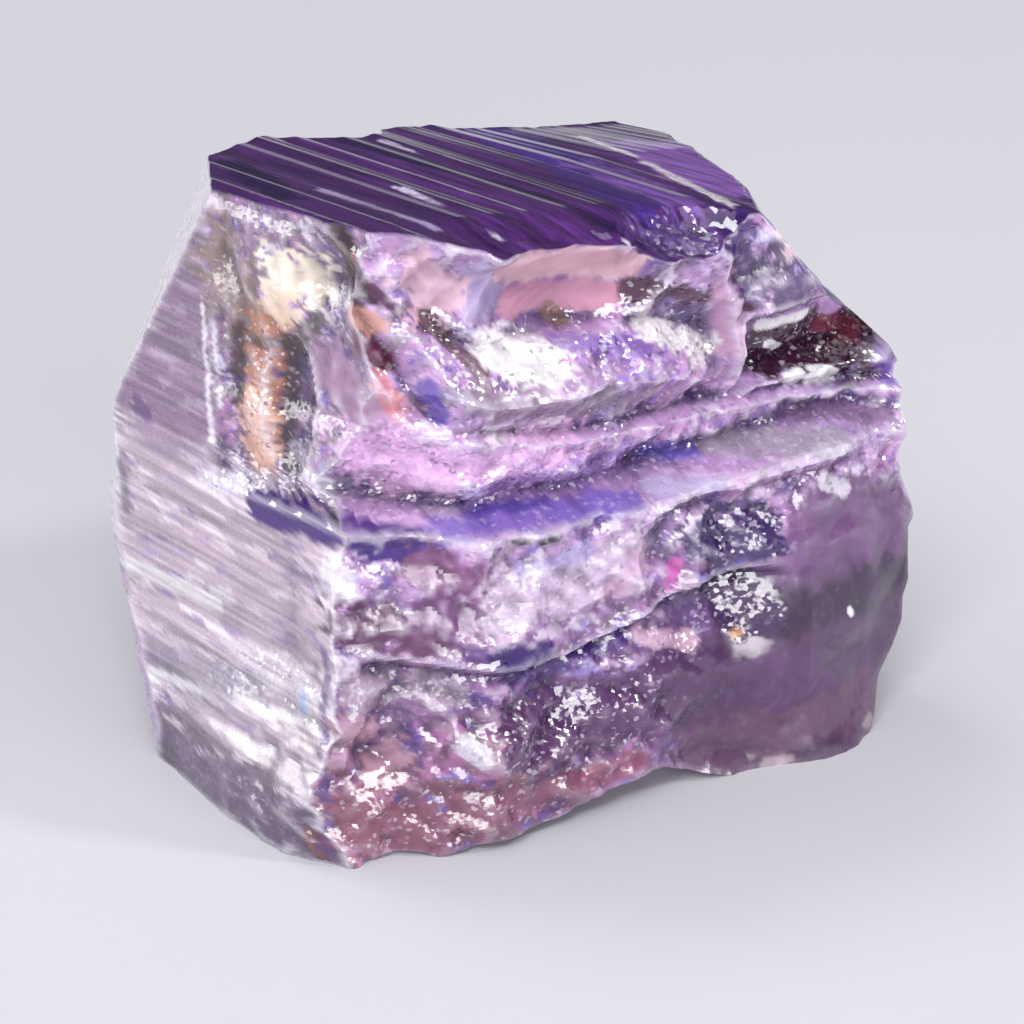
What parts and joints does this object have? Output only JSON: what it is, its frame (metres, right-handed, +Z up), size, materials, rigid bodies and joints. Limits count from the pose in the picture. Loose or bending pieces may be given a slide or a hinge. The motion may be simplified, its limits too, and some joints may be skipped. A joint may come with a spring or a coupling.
{
  "type": "tanzanite crystal",
  "caption": "Broken violet-blue tanzanite crystal: a stubby rough gem prism with a striated top and side, a ledged fracture front and a flat base to lie on.",
  "frame": {"origin": "middle of the bounding box's underside, on the plane of the flat base", "axes": "+X runs along the wide fractured front to the right as seen from in front, +Y goes from the front to the back along the zone axis and the striations, +Z is up to the striated top face"},
  "size_m": [0.023, 0.0166, 0.0198],
  "materials": {
    "zoisite": "glassy prism faces with fine striations, and glassy to frosty fracture faces"
  },
  "bodies": {
    "root": {"tanzanite_crystal": "zoisite"}
  },
  "joints": []
}
